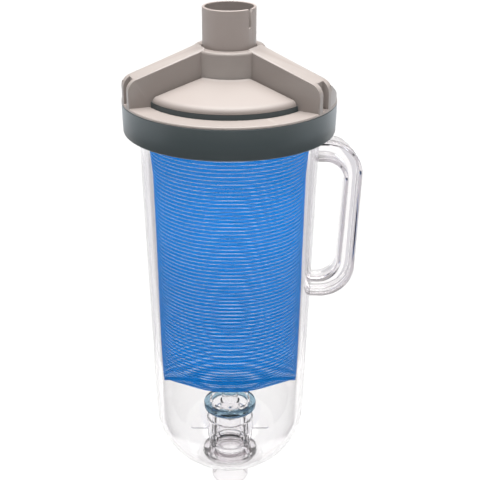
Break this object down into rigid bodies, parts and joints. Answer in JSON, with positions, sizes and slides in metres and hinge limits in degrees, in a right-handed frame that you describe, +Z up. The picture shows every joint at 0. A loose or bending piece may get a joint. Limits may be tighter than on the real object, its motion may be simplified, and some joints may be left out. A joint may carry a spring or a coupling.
{
  "type": "in-line leaf canister",
  "caption": "In-line leaf canister for a suction pool cleaner: clear tapering canister, grey twist-lock lid with grip arms, blue mesh bag and a carry handle.",
  "frame": {"origin": "on the canister's axis, at the tip of the outlet spigot, where the hose holds it", "axes": "+Z up along the canister's axis towards the hose cuff, +X towards the carry handle, -Y is the lid's front"},
  "size_m": [0.206, 0.182, 0.4587],
  "materials": {
    "clear_plastic": "clear polished plastic",
    "light_grey_plastic": "fine satin moulded plastic",
    "slate_plastic": "satin moulded plastic",
    "blue_mesh": "fine woven polyester mesh",
    "white_plastic": "satin moulded plastic",
    "smoke_blue_plastic": "tinted clear plastic",
    "black_rubber": "matte"
  },
  "bodies": {
    "canister": {"canister_shell": "clear_plastic", "carry_handle": "clear_plastic", "bag_ring": "white_plastic", "bag_top_hem": "blue_mesh", "mesh_bag": "blue_mesh", "bag_bottom_seam": "blue_mesh", "guard_cage": "clear_plastic", "guard_ring": "smoke_blue_plastic", "guard_post": "clear_plastic"},
    "lid": {"lid_dome": "slate_plastic", "lid_seal": "black_rubber", "cuff_seal": "black_rubber"},
    "lock_ring": {"locking_collar": "slate_plastic", "grip_frame": "light_grey_plastic", "panel_front": "light_grey_plastic", "panel_right": "light_grey_plastic", "panel_left": "light_grey_plastic"},
    "cuff": {"hose_cuff": "light_grey_plastic"},
    "outlet": {"outlet_spigot": "clear_plastic", "spigot_seal": "clear_plastic"}
  },
  "joints": [
    {"name": "lid_lift", "type": "slide", "parent": "canister", "child": "lid", "axis": [0, 0, 1], "range_m": [0, 0.08]},
    {"name": "lock_turn", "type": "hinge", "parent": "lid", "child": "lock_ring", "pos_m": [0, 0, 0.3807], "axis": [0, 0, 1], "range_deg": [-35, 0]},
    {"name": "cuff_swivel", "type": "hinge", "parent": "lid", "child": "cuff", "pos_m": [0, 0, 0.3975], "axis": [0, 0, 1], "continuous": true},
    {"name": "outlet_swivel", "type": "hinge", "parent": "canister", "child": "outlet", "pos_m": [0, 0, 0.026], "axis": [0, 0, 1], "continuous": true}
  ]
}
